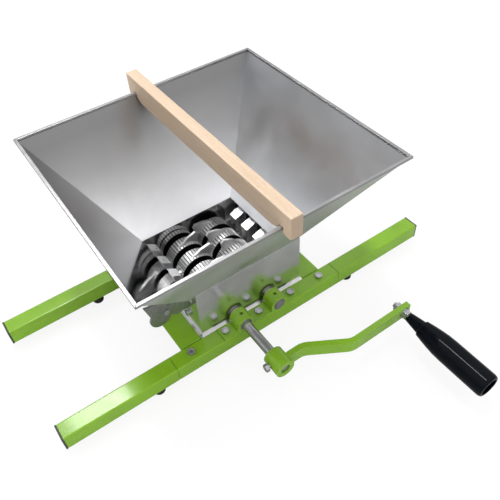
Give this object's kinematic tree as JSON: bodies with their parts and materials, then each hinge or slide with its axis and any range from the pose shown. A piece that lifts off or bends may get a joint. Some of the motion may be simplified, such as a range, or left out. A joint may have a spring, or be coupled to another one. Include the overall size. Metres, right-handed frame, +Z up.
{
  "type": "fruit crusher",
  "caption": "Hand-cranked fruit crusher with a square steel hopper over two toothed rollers, a green square-tube frame and a beech bar across the hopper.",
  "frame": {"origin": "on the floor under the feet, at the middle of the bounding box", "axes": "+X along the two frame rails, from the hopper's left to the crank grip's side; +Y from the crank to the gears at the back; +Z up"},
  "size_m": [0.6034, 0.5512, 0.2926],
  "materials": {
    "green_paint": "glossy",
    "cap_plastic": "matte",
    "foot_rubber": "matte",
    "zinc_steel": "satin",
    "shaft_steel": "satin",
    "box_steel": "polished",
    "hopper_steel": "brushed",
    "comb_aluminium": "polished",
    "bracket_steel": "satin",
    "bush_steel": "satin",
    "gear_steel": "satin",
    "sleeve_steel": "satin",
    "roller_aluminium": "cast",
    "grip_plastic": "glossy",
    "beech": "sanded"
  },
  "bodies": {
    "mill": {"front_rail": "green_paint", "rear_rail": "green_paint", "left_cross_plate": "green_paint", "right_cross_plate": "green_paint", "leg_front_left": "green_paint", "leg_front_right": "green_paint", "leg_rear_left": "green_paint", "leg_rear_right": "green_paint", "block_front_left": "green_paint", "block_front_right": "green_paint", "block_rear_left": "green_paint", "block_rear_right": "green_paint", "end_caps": "cap_plastic", "rubber_feet": "foot_rubber", "foot_screws": "zinc_steel", "leg_bolts": "zinc_steel", "block_bolts": "zinc_steel", "frame_nuts": "zinc_steel", "comb_bolts": "zinc_steel", "bracket_screws": "zinc_steel", "box_front": "box_steel", "box_rear": "box_steel", "box_left": "box_steel", "box_right": "box_steel", "hopper_front": "hopper_steel", "hopper_rear": "hopper_steel", "hopper_left": "hopper_steel", "hopper_right": "hopper_steel", "hopper_rim": "hopper_steel", "left_comb": "comb_aluminium", "right_comb": "comb_aluminium", "bracket_inner": "bracket_steel", "bracket_outer": "bracket_steel", "bearing_bushes": "bush_steel"},
    "drive_roller": {"drive_shaft": "shaft_steel", "drive_keys": "shaft_steel", "drive_gear": "gear_steel", "drive_spacers": "sleeve_steel", "drive_ring_1": "roller_aluminium", "drive_ring_2": "roller_aluminium", "drive_ring_3": "roller_aluminium", "drive_ring_4": "roller_aluminium", "drive_ring_5": "roller_aluminium", "drive_ring_6": "roller_aluminium", "crank_arm": "green_paint", "crank_bolt": "zinc_steel", "grip_axle": "zinc_steel", "axle_nuts": "zinc_steel"},
    "idler_roller": {"idler_shaft": "shaft_steel", "idler_keys": "shaft_steel", "idler_gear": "gear_steel", "idler_spacers": "sleeve_steel", "idler_ring_1": "roller_aluminium", "idler_ring_2": "roller_aluminium", "idler_ring_3": "roller_aluminium", "idler_ring_4": "roller_aluminium", "idler_ring_5": "roller_aluminium"},
    "grip": {"crank_grip": "grip_plastic"},
    "bar": {"wooden_bar": "beech"}
  },
  "joints": [
    {"name": "crank_turn", "type": "hinge", "parent": "mill", "child": "drive_roller", "pos_m": [-0.0285, -0.048, 0.05], "axis": [0, 1, 0], "continuous": true},
    {"name": "idler_turn", "type": "hinge", "parent": "mill", "child": "idler_roller", "pos_m": [0.0285, 0.092, 0.05], "axis": [0, 1, 0], "continuous": true},
    {"name": "grip_spin", "type": "hinge", "parent": "drive_roller", "child": "grip", "pos_m": [0.155, -0.2021, 0.05], "axis": [0, 1, 0], "continuous": true},
    {"name": "bar_slide", "type": "slide", "parent": "mill", "child": "bar", "axis": [1, 0, 0], "range_m": [-0.15, 0.15]}
  ],
  "couplings": [
    {"joint": "idler_turn", "follows": "crank_turn", "ratio": -1}
  ]
}
